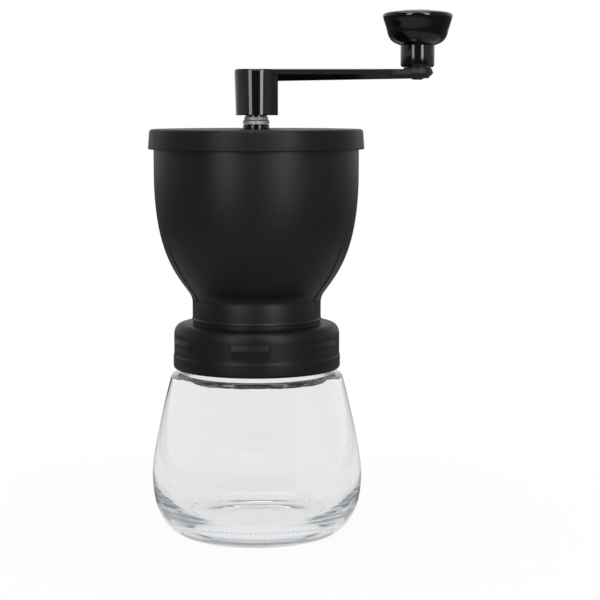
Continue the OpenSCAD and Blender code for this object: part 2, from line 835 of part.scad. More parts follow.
glass_jar();
jar_seal();
jar_collar();
hopper();
burr_housing();
outer_burr();
housing_screws();
lower_bush();
upper_bush();
shaft_sleeve();
hopper_lid();
drive_shaft();
shaft_collar();
spacer_washer();
thrust_washer();
retaining_clip();
burr_spring();
inner_burr();
burr_carrier();
adjusting_nut();
nut_insert();
crank_arm();
knob_spindle();
knob_washer();
knob();
knob_cap();
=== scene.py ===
"""Hand crank coffee grinder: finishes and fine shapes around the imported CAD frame. Metres, +Z up."""

import math

import bpy
import bmesh
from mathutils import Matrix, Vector


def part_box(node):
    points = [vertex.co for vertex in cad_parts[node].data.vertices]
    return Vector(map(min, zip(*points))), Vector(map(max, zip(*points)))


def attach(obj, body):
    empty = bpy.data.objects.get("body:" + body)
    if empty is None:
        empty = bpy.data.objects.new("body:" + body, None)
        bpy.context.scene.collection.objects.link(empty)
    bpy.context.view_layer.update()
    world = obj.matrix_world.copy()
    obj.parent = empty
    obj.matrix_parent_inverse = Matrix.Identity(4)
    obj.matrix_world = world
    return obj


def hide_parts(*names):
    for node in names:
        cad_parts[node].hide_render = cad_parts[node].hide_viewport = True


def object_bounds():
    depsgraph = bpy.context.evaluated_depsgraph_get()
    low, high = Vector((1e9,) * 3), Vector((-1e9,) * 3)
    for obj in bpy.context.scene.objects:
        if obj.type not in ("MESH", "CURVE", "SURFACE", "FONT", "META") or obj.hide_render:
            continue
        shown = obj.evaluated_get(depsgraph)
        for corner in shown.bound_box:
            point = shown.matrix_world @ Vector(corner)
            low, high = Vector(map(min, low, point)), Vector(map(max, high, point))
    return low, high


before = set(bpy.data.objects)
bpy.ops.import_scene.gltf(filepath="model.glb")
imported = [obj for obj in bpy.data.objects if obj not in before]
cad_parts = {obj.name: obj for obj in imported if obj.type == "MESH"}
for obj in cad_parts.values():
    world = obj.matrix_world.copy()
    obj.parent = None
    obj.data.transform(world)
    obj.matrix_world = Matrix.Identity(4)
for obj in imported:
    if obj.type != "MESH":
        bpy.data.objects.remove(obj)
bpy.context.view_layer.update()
MM = 0.001
SAME = 1e-6
scene = bpy.context.scene


# ---------------------------------------------------------------- profiles
def bez2(a, b, c, n):
    """n + 1 points along a quadratic curve, as (radius, height)."""
    pts = []
    for i in range(n + 1):
        t = i / n
        u = 1 - t
        pts.append(tuple(p * u * u + 2 * q * t * u + s * t * t for p, q, s in zip(a, b, c)))
    return pts


def bez3(a, b, c, d, n):
    """n + 1 points along a cubic curve, as (radius, height)."""
    pts = []
    for i in range(n + 1):
        t = i / n
        u = 1 - t
        w = (u**3, 3 * t * u * u, 3 * t * t * u, t**3)
        pts.append(tuple(sum(k * p[j] for k, p in zip(w, (a, b, c, d))) for j in (0, 1)))
    return pts


def moved(pts, d):
    """The open profile pts moved sideways by d, outwards if d is positive and the profile goes up."""
    out = []
    for i, p in enumerate(pts):
        a = pts[max(i - 1, 0)]
        b = pts[min(i + 1, len(pts) - 1)]
        t = Vector((b[0] - a[0], b[1] - a[1])).normalized()
        out.append((p[0] + d * t.y, p[1] - d * t.x))
    return out


def rounded(corners, n):
    """A closed profile from (radius, height, fillet) corners. Each fillet becomes a curve of n parts."""
    pts = []
    count = len(corners)
    for i, corner in enumerate(corners):
        here = Vector(corner[:2])
        f = corner[2] if len(corner) > 2 else 0
        before = Vector(corners[i - 1][:2]) - here
        after = Vector(corners[(i + 1) % count][:2]) - here
        if not f:
            pts.append(tuple(here))
            continue
        half = before.angle(after) / 2
        back = min(f / math.tan(half), 0.49 * before.length, 0.49 * after.length)
        start = here + before.normalized() * back
        end = here + after.normalized() * back
        for k in range(n + 1):
            t = k / n
            pts.append(tuple(start * (1 - t) ** 2 + here * 2 * t * (1 - t) + end * t * t))
    return pts


def densified(pts, step):
    """The closed profile with no stretch longer than step."""
    out = []
    for i, p in enumerate(pts):
        q = pts[(i + 1) % len(pts)]
        n = max(1, math.ceil(math.dist(p, q) / step))
        out += [(p[0] + (q[0] - p[0]) * k / n, p[1] + (q[1] - p[1]) * k / n) for k in range(n)]
    return out


# ---------------------------------------------------------------- meshes
def finish_mesh(name, verts, faces, smooth_angle):
    """A linked object from verts in metres, shaded smooth up to smooth_angle degrees."""
    mesh = bpy.data.meshes.new(name)
    mesh.from_pydata(verts, [], faces)
    mesh.validate()
    bm = bmesh.new()
    bm.from_mesh(mesh)
    bmesh.ops.remove_doubles(bm, verts=bm.verts, dist=1e-7)
    bmesh.ops.recalc_face_normals(bm, faces=bm.faces)
    bm.to_mesh(mesh)
    bm.free()
    mesh.shade_smooth()
    mesh.set_sharp_from_angle(angle=math.radians(smooth_angle))
    obj = bpy.data.objects.new(name, mesh)
    scene.collection.objects.link(obj)
    return obj


def lathe(name, profile, segments, centre=(0, 0), shape=None, smooth_angle=35, extra=()):
    """Turns a closed profile of (radius, height) in mm round the Z axis through centre (mm).
    shape(r, z, angle) may return a changed (r, z, angle); extra holds more angles to cut the mesh at."""
    verts, faces = [], []
    angles = sorted({round(2 * math.pi * i / segments, 6) for i in range(segments)}
                    | {round(a % (2 * math.pi), 6) for a in extra})
    for angle in angles:
        for r, z in profile:
            a = angle
            if shape and r > SAME:
                r, z, a = shape(r, z, a)
            verts.append(((centre[0] + r * math.cos(a)) * MM, (centre[1] + r * math.sin(a)) * MM, z * MM))
    n = len(profile)
    for i in range(len(angles)):
        j = (i + 1) % len(angles)
        for k in range(n):
            m = (k + 1) % n
            on_axis = profile[k][0] < SAME, profile[m][0] < SAME
            if all(on_axis):
                continue
            if on_axis[0]:
                faces.append((i * n + k, j * n + m, i * n + m))
            elif on_axis[1]:
                faces.append((i * n + k, j * n + k, i * n + m))
            else:
                faces.append((i * n + k, j * n + k, j * n + m, i * n + m))
    return finish_mesh(name, verts, faces, smooth_angle)


def stands_for(obj, body, slot, material, *nodes):
    """obj rides on body, takes material, and is shown instead of the CAD nodes."""
    obj.data.materials.clear()
    obj.data.materials.append(material)
    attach(obj, body)
    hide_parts(*nodes)
    return obj


# ---------------------------------------------------------------- materials
NOISE_SPAN = (0.3, 0.7)
# places on the crank and the jar, in metres of object coordinates
HUB_ROUND = 0.0052
ARM_END = 0.056
PUNT_EDGE = 0.026
PUNT_TOP = 0.0026
PUNT_ROUGH = 0.08
HEEL_TOP_TO_FULL = (0.03, 0.012)
HEEL_IN_TO_FULL = (0.031, 0.037)


def new_material(name):
    """A new node material, its node tree and its Principled shader."""
    mat = bpy.data.materials.new(name)
    mat.use_nodes = True
    tree = mat.node_tree
    return mat, tree, tree.nodes["Principled BSDF"]


def math_node(tree, operation, a, b):
    """The output of a math node; a and b are sockets or numbers."""
    node = tree.nodes.new("ShaderNodeMath")
    node.operation = operation
    for slot, value in zip(node.inputs, (a, b)):
        if isinstance(value, (int, float)):
            slot.default_value = value
        else:
            tree.links.new(value, slot)
    return node.outputs["Value"]


def product(tree, a, b):
    """a times b."""
    return math_node(tree, "MULTIPLY", a, b)


def highest(tree, a, b):
    """The higher one of a and b."""
    return math_node(tree, "MAXIMUM", a, b)


def one_minus(tree, value):
    """1 less value."""
    return math_node(tree, "SUBTRACT", 1.0, value)


def object_coords(tree):
    """Object coordinates, in metres."""
    return tree.nodes.new("ShaderNodeTexCoord").outputs["Object"]


def noise(tree, scale, detail, rough, coords=None):
    """A noise texture, on object coordinates unless coords are given."""
    tex = tree.nodes.new("ShaderNodeTexNoise")
    tex.inputs["Scale"].default_value = scale
    tex.inputs["Detail"].default_value = detail
    tex.inputs["Roughness"].default_value = rough
    tree.links.new(object_coords(tree) if coords is None else coords, tex.inputs["Vector"])
    return tex.outputs["Fac"]


def mapped(tree, value, low, high, at_low, at_high, curve="LINEAR"):
    """value, from low to high, mapped to at_low to at_high."""
    node = tree.nodes.new("ShaderNodeMapRange")
    node.interpolation_type = curve
    for key, number in (("From Min", low), ("From Max", high), ("To Min", at_low), ("To Max", at_high)):
        node.inputs[key].default_value = number
    tree.links.new(value, node.inputs["Value"])
    return node.outputs["Result"]


def smooth(tree, value, low, high, at_low, at_high):
    """value, from low to high, mapped with soft ends to at_low to at_high."""
    return mapped(tree, value, low, high, at_low, at_high, "SMOOTHSTEP")


def spread(tree, value, low, high):
    """A noise value, of which most lies in NOISE_SPAN, mapped to low to high."""
    return mapped(tree, value, *NOISE_SPAN, low, high)


def axes_of(tree, coords):
    """The X, Y and Z outputs of coords."""
    node = tree.nodes.new("ShaderNodeSeparateXYZ")
    tree.links.new(coords, node.inputs["Vector"])
    return node.outputs


def length_of(tree, coords):
    """The length of the vector coords."""
    node = tree.nodes.new("ShaderNodeVectorMath")
    node.operation = "LENGTH"
    tree.links.new(coords, node.inputs[0])
    return node.outputs["Value"]


def bump(tree, height, distance, strength, under=None):
    """A bump of the given distance in metres, on top of another one."""
    node = tree.nodes.new("ShaderNodeBump")
    node.inputs["Distance"].default_value = distance
    node.inputs["Strength"].default_value = strength
    tree.links.new(height, node.inputs["Height"])
    if under is not None:
        tree.links.new(under, node.inputs["Normal"])
    return node.outputs["Normal"]


def stretched(tree, x, y, z):
    """Object coordinates scaled by x, y and z."""
    node = tree.nodes.new("ShaderNodeMapping")
    node.inputs["Scale"].default_value = (x, y, z)
    tree.links.new(object_coords(tree), node.inputs["Vector"])
    return node.outputs["Vector"]


def ramp(tree, value, dark, light):
    """A colour between dark and light, for a noise value in NOISE_SPAN."""
    node = tree.nodes.new("ShaderNodeValToRGB")
    for element, position, colour in zip(node.color_ramp.elements, NOISE_SPAN, (dark, light)):
        element.position = position
        element.color = (*colour, 1)
    tree.links.new(value, node.inputs["Fac"])
    return node.outputs["Color"]


def grey(level):
    """A neutral colour."""
    return (level, level, level)


def satin_plastic(name, level, rough, grain, specular):
    """Moulded black plastic with a fine spark-eroded grain."""
    mat, tree, bsdf = new_material(name)
    fine = noise(tree, 2100, 2, 0.6)
    broad = noise(tree, 60, 4, 0.6)
    tree.links.new(ramp(tree, broad, grey(level * 0.85), grey(level * 1.15)), bsdf.inputs["Base Color"])
    tree.links.new(spread(tree, broad, *rough), bsdf.inputs["Roughness"])
    tree.links.new(bump(tree, fine, grain, 0.6), bsdf.inputs["Normal"])
    bsdf.inputs["Specular IOR Level"].default_value = specular
    return mat


def gloss_plastic(name, arm_rough=0.0, end_rough=0.0):
    """Polished black plastic: clear reflections, a trace of orange peel and handling marks.
    arm_rough is added to the roughness past HUB_ROUND, where the crank's hub turns flat for the arm,
    and end_rough as well from ARM_END on, where the arm has its round end."""
    level = 0.0012
    mat, tree, bsdf = new_material(name)
    peel = noise(tree, 240, 2, 0.5)
    marks = noise(tree, 900, 5, 0.7)
    broad = noise(tree, 90, 4, 0.6)
    tree.links.new(ramp(tree, broad, grey(level * 0.8), grey(level * 1.3)), bsdf.inputs["Base Color"])
    roughness = spread(tree, marks, 0.06, 0.12)
    if arm_rough:
        along = axes_of(tree, object_coords(tree))["X"]
        duller = smooth(tree, along, HUB_ROUND, HUB_ROUND + MM, 0.0, arm_rough)
        end = smooth(tree, along, ARM_END, ARM_END + 3 * MM, 0.0, end_rough)
        roughness = math_node(tree, "ADD", roughness, math_node(tree, "ADD", duller, end))
    tree.links.new(roughness, bsdf.inputs["Roughness"])
    tree.links.new(bump(tree, peel, 0.000012, 0.5), bsdf.inputs["Normal"])
    return mat


def turned_steel(name, level=0.6, rough=(0.16, 0.3)):
    """Steel with fine turning rings, bright unless it is given a lower level."""
    mat, tree, bsdf = new_material(name)
    rings = noise(tree, 1.0, 3, 0.6, stretched(tree, 30, 30, 9000))
    broad = noise(tree, 300, 4, 0.6)
    tree.links.new(ramp(tree, broad, grey(level * 0.8), grey(level * 1.1)), bsdf.inputs["Base Color"])
    bsdf.inputs["Metallic"].default_value = 1
    tree.links.new(spread(tree, rings, *rough), bsdf.inputs["Roughness"])
    tree.links.new(bump(tree, rings, 0.00001, 0.5), bsdf.inputs["Normal"])
    return mat


def brass_metal(name):
    """Brass, dull in patches."""
    mat, tree, bsdf = new_material(name)
    broad = noise(tree, 400, 4, 0.6)
    tree.links.new(ramp(tree, broad, (0.55, 0.36, 0.12), (0.78, 0.58, 0.24)), bsdf.inputs["Base Color"])
    bsdf.inputs["Metallic"].default_value = 1
    tree.links.new(spread(tree, broad, 0.2, 0.38), bsdf.inputs["Roughness"])
    return mat


def fired_ceramic(name):
    """Off-white fired ceramic, matt on its ground teeth."""
    mat, tree, bsdf = new_material(name)
    speck = noise(tree, 1500, 4, 0.7)
    broad = noise(tree, 120, 4, 0.6)
    tree.links.new(ramp(tree, broad, (0.72, 0.69, 0.62), (0.86, 0.84, 0.78)), bsdf.inputs["Base Color"])
    tree.links.new(spread(tree, speck, 0.35, 0.6), bsdf.inputs["Roughness"])
    tree.links.new(bump(tree, speck, 0.00003, 0.5), bsdf.inputs["Normal"])
    bsdf.inputs["Subsurface Weight"].default_value = 0.15
    bsdf.inputs["Subsurface Radius"].default_value = (0.002, 0.0016, 0.0012)
    return mat


def soft_white(name, dark, light, rough):
    """Silicone or acetal: pale, faintly translucent."""
    mat, tree, bsdf = new_material(name)
    broad = noise(tree, 200, 4, 0.6)
    tree.links.new(ramp(tree, broad, dark, light), bsdf.inputs["Base Color"])
    tree.links.new(spread(tree, broad, *rough), bsdf.inputs["Roughness"])
    tree.links.new(bump(tree, noise(tree, 1200, 3, 0.6), 0.00001, 0.5), bsdf.inputs["Normal"])
    bsdf.inputs["Subsurface Weight"].default_value = 0.2
    bsdf.inputs["Subsurface Radius"].default_value = (0.002, 0.002, 0.002)
    return mat


def clear_glass(name):
    """Pressed soda glass: clear and slightly wavy, with ripples in rings on the heel and a rough punt.
    Its depth is a cool grey, and a weak glow is painted into its volume as emission, so that long light paths
    don't end in black."""
    mat, tree, bsdf = new_material(name)
    height = axes_of(tree, object_coords(tree))["Z"]
    radius = length_of(tree, stretched(tree, 1, 1, 0))
    low_down = mapped(tree, height, *HEEL_TOP_TO_FULL, 0.0, 1.0)
    outside = mapped(tree, radius, *HEEL_IN_TO_FULL, 0.0, 1.0)
    on_heel = product(tree, low_down, outside)
    rings = noise(tree, 1.0, 2, 0.5, stretched(tree, 10, 10, 420))
    ripples = product(tree, rings, on_heel)
    wavy = bump(tree, noise(tree, 30, 2, 0.5), 0.0001, 0.5)
    tree.links.new(bump(tree, ripples, 0.00012, 0.6, wavy), bsdf.inputs["Normal"])
    bsdf.inputs["Base Color"].default_value = (0.95, 0.95, 0.95, 1)
    bsdf.inputs["Transmission Weight"].default_value = 1
    bsdf.inputs["IOR"].default_value = 1.5
    in_punt = product(tree, math_node(tree, "LESS_THAN", height, PUNT_TOP),
                      math_node(tree, "LESS_THAN", radius, PUNT_EDGE))
    polish = spread(tree, noise(tree, 160, 2, 0.5), 0.0, 0.012)
    roughened = product(tree, in_punt, PUNT_ROUGH)
    tree.links.new(math_node(tree, "ADD", polish, roughened), bsdf.inputs["Roughness"])
    depth = tree.nodes.new("ShaderNodeVolumeAbsorption")
    depth.inputs["Color"].default_value = (0.58, 0.6, 0.62, 1)
    depth.inputs["Density"].default_value = 20
    # painted glow: the glass's volume gives off light of its own, though it is no lamp
    painted_glow = tree.nodes.new("ShaderNodeEmission")
    painted_glow.inputs["Color"].default_value = (0.93, 0.97, 1, 1)
    painted_glow.inputs["Strength"].default_value = 3.3
    volume = tree.nodes.new("ShaderNodeAddShader")
    tree.links.new(depth.outputs["Volume"], volume.inputs[0])
    tree.links.new(painted_glow.outputs["Emission"], volume.inputs[1])
    tree.links.new(volume.outputs["Shader"], tree.nodes["Material Output"].inputs["Volume"])
    return mat


SATIN = satin_plastic("satin_black", level=0.0035, rough=(0.38, 0.46), grain=0.00003, specular=0.27)
COLLAR_SATIN = satin_plastic("satin_black_collar", level=0.0035, rough=(0.38, 0.46), grain=0.00003,
                             specular=0.21)
LID_SATIN = satin_plastic("satin_black_lid", level=0.004, rough=(0.38, 0.5), grain=0.00007, specular=0.2)
GLOSS = gloss_plastic("gloss_black")
CRANK_GLOSS = gloss_plastic("gloss_black_crank", arm_rough=0.22, end_rough=0.25)
STEEL = turned_steel("turned_steel")
DULL_STEEL = turned_steel("dull_steel", level=0.42, rough=(0.5, 0.66))
BLACK_STEEL = turned_steel("black_steel", level=0.03, rough=(0.3, 0.45))
BRASS = brass_metal("brass")
CERAMIC = fired_ceramic("ceramic")
SILICONE = soft_white("silicone", (0.6, 0.6, 0.58), (0.75, 0.75, 0.73), rough=(0.45, 0.6))
ACETAL = soft_white("acetal", (0.7, 0.7, 0.68), (0.82, 0.82, 0.8), rough=(0.3, 0.42))
GLASS = clear_glass("glass")


# ---------------------------------------------------------------- sizes in mm
def mm_box(node):
    """The CAD node's low and high corner in mm."""
    low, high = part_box(node)
    return low / MM, high / MM


jar_high = mm_box("glass_jar")[1]
collar_low, collar_high = mm_box("jar_collar")
hopper_low, hopper_high = mm_box("hopper")
lid_low, lid_high = mm_box("hopper_lid")
bush_high = mm_box("upper_bush")[1]
knob_low, knob_high = mm_box("knob")
cap_low, cap_high = mm_box("knob_cap")

JAR_R = jar_high.x
RIM_Z = jar_high.z
# dimensions of the jar that its box doesn't give
NECK_R = 32.0
NECK_H = 19.0
SHOULDER_R = 36.5
JAR_WALL = 3.0
JAR_FLOOR = 6.5
BELLY_Z = 26.0
FOOT_R = 30.0
FOOT_W = 2.5
PUNT_H = 2.2
DOTS = 96
DOT_H = 0.7
RIM_ROUND = 0.9
THREAD_PITCH = 4.2
THREAD_H = 0.65
THREAD_STEP = 0.3
COLLAR_THREAD_H = 0.35


def clamped(value):
    """value, held between 0 and 1."""
    return min(1.0, max(0.0, value))


def spot(r, z):
    """The profile point (r, z), rounded so that it can be found in a set."""
    return round(r, 4), round(z, 4)


def ridge(turns):
    """Height from 0 to 1 of a rounded ridge that repeats once a turn."""
    return max(0.0, -math.cos(turns * 2 * math.pi)) ** 1.5


def waves(a, z, *terms):
    """Smooth unevenness round the jar: the sum of (size, waves round, phase per mm, offset) terms."""
    return sum(k * math.cos(n * a + m * z + c) for k, n, m, c in terms)


# ---------------------------------------------------------------- glass jar
def glass_jar():
    """Pressed jar: stippled ring, heel, flank, shoulder, threaded neck, inside and punt."""
    z_shoulder = RIM_Z - NECK_H
    mouth_r = NECK_R - JAR_WALL - 0.1
    heel = bez3((FOOT_R, 0), (FOOT_R + 8, 1.2), (JAR_R, BELLY_Z * 0.35), (JAR_R, BELLY_Z), 36)
    flank = bez3((JAR_R, BELLY_Z), (JAR_R - 0.2, BELLY_Z + 8), (SHOULDER_R + 3.9, z_shoulder - 15.2),
                 (SHOULDER_R, z_shoulder - 0.5), 40)
    shoulder = bez2((SHOULDER_R - 0.2, z_shoulder + 0.2), (SHOULDER_R - 0.9, z_shoulder + 1.8),
                    (NECK_R + 0.3, z_shoulder + 2.1), 16)
    neck_rows = int((NECK_H - 3.4) / THREAD_STEP)
    neck = [(NECK_R, z_shoulder + 2.4 + THREAD_STEP * i) for i in range(neck_rows)]
    rim = bez2((NECK_R, RIM_Z - RIM_ROUND), (NECK_R, RIM_Z), (NECK_R - RIM_ROUND, RIM_Z), 6)
    rim += bez2((mouth_r + RIM_ROUND, RIM_Z), (mouth_r, RIM_Z), (mouth_r, RIM_Z - RIM_ROUND), 6)
    inner_shoulder = bez3((SHOULDER_R - JAR_WALL - 0.1, z_shoulder - 0.6),
                          (SHOULDER_R - JAR_WALL - 4.4, z_shoulder - 0.6),
                          (mouth_r, z_shoulder - 2), (mouth_r, z_shoulder + 2.6), 24)
    inner_heel = bez3((FOOT_R - 3, JAR_FLOOR), (FOOT_R + 3, JAR_FLOOR), (JAR_R - JAR_WALL, BELLY_Z * 0.5),
                      (JAR_R - JAR_WALL, BELLY_Z), 30)
    punt_r = FOOT_R - FOOT_W
    punt = bez3((punt_r, 0), (punt_r - 8, 0.1), (FOOT_R / 2, PUNT_H), (0, PUNT_H), 16)
    foot = [(punt_r + 0.5 * i, 0) for i in range(1, 5)]
    inner_flank = moved(flank, -JAR_WALL)
    inside = inner_shoulder[::-1] + inner_flank[-2:0:-2] + inner_heel[::-1]
    profile = heel + flank[1:] + shoulder + neck + rim + inside + [(0, JAR_FLOOR)] + punt[::-1] + foot
    uneven = {spot(r, z) for r, z in inside}
    thread_low, thread_high = z_shoulder + 6.5, RIM_Z - 2.5

    def shape(r, z, a):
        if z < 0.5 and FOOT_R < r < FOOT_R + FOOT_W:
            across = math.sin(math.pi * (r - FOOT_R) / FOOT_W)
            return r, z + DOT_H * across * max(0.0, math.cos(DOTS * a)), a
        if abs(r - NECK_R) < SAME and thread_low - 1 < z < thread_high + 1:
            along = (z - thread_low) / (thread_high - thread_low)
            fade = clamped(along * 6) * clamped((1 - along) * 6)
            turns = (z - thread_low) / THREAD_PITCH - a / (2 * math.pi)
            return r + THREAD_H * ridge(turns) * fade, z, a
        if spot(r, z) in uneven:
            top = math.exp(-((z - z_shoulder) / 4) ** 2)
            thick = 0.03 + 0.12 * top
            r += thick * waves(a, z, (0.4, 3, 0.04, 0.6), (0.3, 7, -0.1, 2.1), (0.25, 16, 0.2, 4.0))
            z += 0.16 * top * waves(a, 0, (0.5, 5, 0, 1.3), (0.4, 13, 0, 0.2), (0.3, 29, 0, 2.7))
        return r, z, a

    obj = lathe("jar_glass", profile, 384, shape=shape, smooth_angle=50)
    return stands_for(obj, "jar", "glass", GLASS, "glass_jar")


# ---------------------------------------------------------------- hopper, collar, lid
HOPPER_R = hopper_high.x
HOPPER_WALL = 2.2
BODY_NECK_R = 27.05
LIP_GAP = 1.5
NECK_RISE = 8.8
FILLET_H = 5.0
BOWL_H = 50.2
PANEL_ANGLE = 130
PANEL_DEPTH = 0.4


def hopper():
    """Bowl, neck and lip with the shallow panels at the front and back of the lower bowl."""
    z_collar = collar_high.z
    z_lip = z_collar + LIP_GAP
    z_neck = z_collar + NECK_RISE
    z_bowl = z_neck + FILLET_H
    z_band = z_bowl + BOWL_H
    bowl_r = BODY_NECK_R + 1.95
    fillet = bez2((BODY_NECK_R, z_neck), (BODY_NECK_R, z_neck + FILLET_H / 2), (bowl_r, z_bowl), 10)
    bowl = bez3((bowl_r, z_bowl), ((BODY_NECK_R + HOPPER_R) / 2, z_bowl + 0.163 * BOWL_H),
                (HOPPER_R, z_bowl + 0.3625 * BOWL_H), (HOPPER_R, z_band), 60)
    outer = [(BODY_NECK_R, z_lip + 2)] + fillet + bowl[1:] + [(HOPPER_R, hopper_high.z)]
    inner = moved(outer, -HOPPER_WALL)
    inner_r = BODY_NECK_R - HOPPER_WALL
    foot = rounded([
        (inner_r, hopper_low.z, 0.2), (BODY_NECK_R - 0.6, hopper_low.z, 0.2),
        (BODY_NECK_R - 0.6, z_collar), (BODY_NECK_R - 0.1, z_collar), (BODY_NECK_R - 0.1, z_lip),
        (BODY_NECK_R + 0.3, z_lip, 0.12), (BODY_NECK_R + 0.3, z_lip + 0.45, 0.2),
        (BODY_NECK_R, z_lip + 1.1, 0.3), (BODY_NECK_R, z_lip + 2), (inner_r, z_lip + 2)], 4)[:-2]
    z_top = hopper_high.z
    top = bez2((HOPPER_R, z_top - 0.5), (HOPPER_R, z_top), (HOPPER_R - 0.5, z_top), 4)
    top += [(HOPPER_R - HOPPER_WALL + 0.5, z_top), (HOPPER_R - HOPPER_WALL, z_top - 0.5)]
    profile = foot + outer[:-1] + top + inner[-2::-1]
    outside = {spot(r, z) for r, z in fillet + bowl}
    half_panel = math.radians(PANEL_ANGLE / 2)
    panel_top = z_bowl + 0.55 * BOWL_H
    edges = [side + s * half_panel + off for side in (math.pi / 2, -math.pi / 2)
             for s in (-1, 1) for off in (-0.006, 0, 0.006)]

    def shape(r, z, a):
        if spot(r, z) not in outside:
            return r, z, a
        off_front = abs((a + math.pi / 2 + math.pi) % (2 * math.pi) - math.pi)
        off = min(off_front, math.pi - off_front)
        inside = clamped((half_panel - off) / 0.012 + 0.5)
        deep = min(1.0, max(0.0, (z - z_neck) / 2), max(0.0, (panel_top - z) / (0.3 * BOWL_H)))
        return r - PANEL_DEPTH * inside * deep, z, a

    obj = lathe("hopper_shell", profile, 360, shape=shape, smooth_angle=40, extra=edges)
    stands_for(obj, "head", "satin_black", SATIN, "hopper")


def hopper_inside():
    """Floor cone and bearing hub with its three arms, inside the hopper."""
    burr_high = mm_box("outer_burr")[1]
    burr_r, z_floor = burr_high.x, burr_high.z
    z_spider = mm_box("lower_bush")[0].z + 1.2
    inner_r = BODY_NECK_R - HOPPER_WALL
    floor = rounded([
        (burr_r - 3, z_floor, 0.1), (burr_r + 1.7, z_floor), (inner_r - 0.02, z_floor + 2.9),
        (inner_r + 0.4, z_floor + 6.6), (burr_r - 3, z_floor + 1.8, 0.4)], 4)
    cone = lathe("hopper_floor", floor, 128)
    stands_for(cone, "head", "satin_black", SATIN, "hopper")
    bush_r, socket_r, hub_r, hub_h = 5.25, 5.6, 7.6, 10
    hub = rounded([
        (bush_r, z_spider, 0.2), (hub_r, z_spider, 0.4), (hub_r, z_spider + hub_h, 0.6),
        (socket_r, z_spider + hub_h, 0.2), (socket_r, z_spider + 7), (bush_r, z_spider + 7)], 4)
    bearing = lathe("hopper_spider_hub", hub, 96)
    stands_for(bearing, "head", "satin_black", SATIN, "hopper")
    verts, faces = [], []
    arm_w, arm_h = 3.6, 4.5
    for i in range(3):
        a = math.radians(120 * i)
        radial = Vector((math.cos(a), math.sin(a), 0))
        across = Vector((-math.sin(a), math.cos(a), 0))
        base = len(verts)
        for r in (7.0, inner_r + 0.6):
            for s, h in ((-1, 0), (1, 0), (1, 1), (0.7, 1), (-0.7, 1), (-1, 1)):
                drop = 0.5 if abs(s) == 1 and h else 0
                p = radial * r + across * (s * arm_w / 2) + Vector((0, 0, z_spider + h * arm_h - drop))
                verts.append(tuple(p * MM))
        faces += [tuple(base + k for k in range(6)), tuple(base + 11 - k for k in range(6))]
        for k in range(6):
            m = (k + 1) % 6
            faces.append((base + k, base + 6 + k, base + 6 + m, base + m))
    arms = finish_mesh("hopper_spider_arms", verts, faces, 30)
    stands_for(arms, "head", "satin_black", SATIN, "hopper")


def frange(start, stop, step):
    """Values from start to stop, both within reach of step."""
    n = max(1, int(abs((stop - start) / step)))
    return [start + (stop - start) * i / n for i in range(n + 1)]


COLLAR_R = 35.0
BAND_H = 5.6
PAD_COUNT = 6
PAD_TURN = math.radians(-93.4)
PAD_GAP = 2.3
PAD_W = 16.0
PAD_H = 5.2
PAD_T = 0.6


def jar_collar():
    """Screw collar with a rounded top edge, a proud lower band and six grip pads."""
    foot, top, r = collar_low.z, collar_high.z, COLLAR_R
    plate = hopper_low.z
    inner_r = NECK_R + 0.8
    hole_r = BODY_NECK_R - 0.55
    side_r = r - 0.1
    band = foot + BAND_H
    ledge = [(r + 0.2, band - 0.35), (r + 0.19, band - 0.15), (r + 0.13, band + 0.08),
             (side_r + 0.06, band + 0.6), (side_r + 0.015, band + 0.85), (side_r, band + 1.1)]
    pad_z = band + PAD_GAP
    pad_top = pad_z + PAD_H
    pad_peak = pad_z + 0.65 * PAD_H
    pad_rows = [pad_z, pad_z + 0.3, (pad_z + pad_peak) / 2, pad_peak - 0.3, pad_peak - 0.1,
                pad_peak + 0.1, pad_peak + 0.3, pad_top - 0.2, pad_top]
    top_round = bez3((side_r, top - 5), (side_r, top - 2), (r - 1.4, top), (r - 4.2, top), 20)
    profile = bez2((r - 1.2, foot), (r + 0.2, foot), (r + 0.2, foot + 1.5), 8)
    profile += ledge + [(side_r, z) for z in pad_rows] + top_round
    profile += [(hole_r + 0.3, top), (hole_r, top - 0.3), (hole_r, plate), (inner_r, plate)]
    profile += [(inner_r, z) for z in frange(plate - 0.5, foot + 0.8, -0.25)] + [(inner_r + 0.5, foot)]
    pitch = 2 * math.pi / PAD_COUNT
    nominal = PAD_W / 2 / r
    cuts = [PAD_TURN + i * pitch + s * nominal + off for i in range(PAD_COUNT)
            for s in (-1, 1) for off in (-0.012, -0.004, 0.004, 0.012)]

    def shape(rr, z, a):
        if abs(rr - side_r) < SAME and pad_z - 0.01 < z < pad_top + 0.01:
            off = (a - PAD_TURN + pitch / 2) % pitch - pitch / 2
            half = math.asin((PAD_W / 2 - 1 + (z - pad_z + 1) / (PAD_H + 2)) / r)
            reach = pitch / 2
            if abs(off) <= nominal:
                moved_off = abs(off) * half / nominal
            else:
                moved_off = half + (abs(off) - nominal) * (reach - half) / (reach - nominal)
            across = clamped((nominal - abs(off)) / 0.008 + 0.5)
            rise = max(0.0, min((z - pad_z) / (pad_peak - pad_z), (pad_top - z) / (pad_top - pad_peak), 0.93))
            return rr + PAD_T * across * rise, z, a + math.copysign(moved_off, off) - off
        if abs(rr - inner_r) < SAME and foot + 2 < z < plate - 2:
            return rr - COLLAR_THREAD_H * ridge((z - foot) / THREAD_PITCH - a / (2 * math.pi)), z, a
        return rr, z, a

    obj = lathe("collar", profile, 360, shape=shape, smooth_angle=24, extra=cuts)
    stands_for(obj, "head", "satin_black", COLLAR_SATIN, "jar_collar")


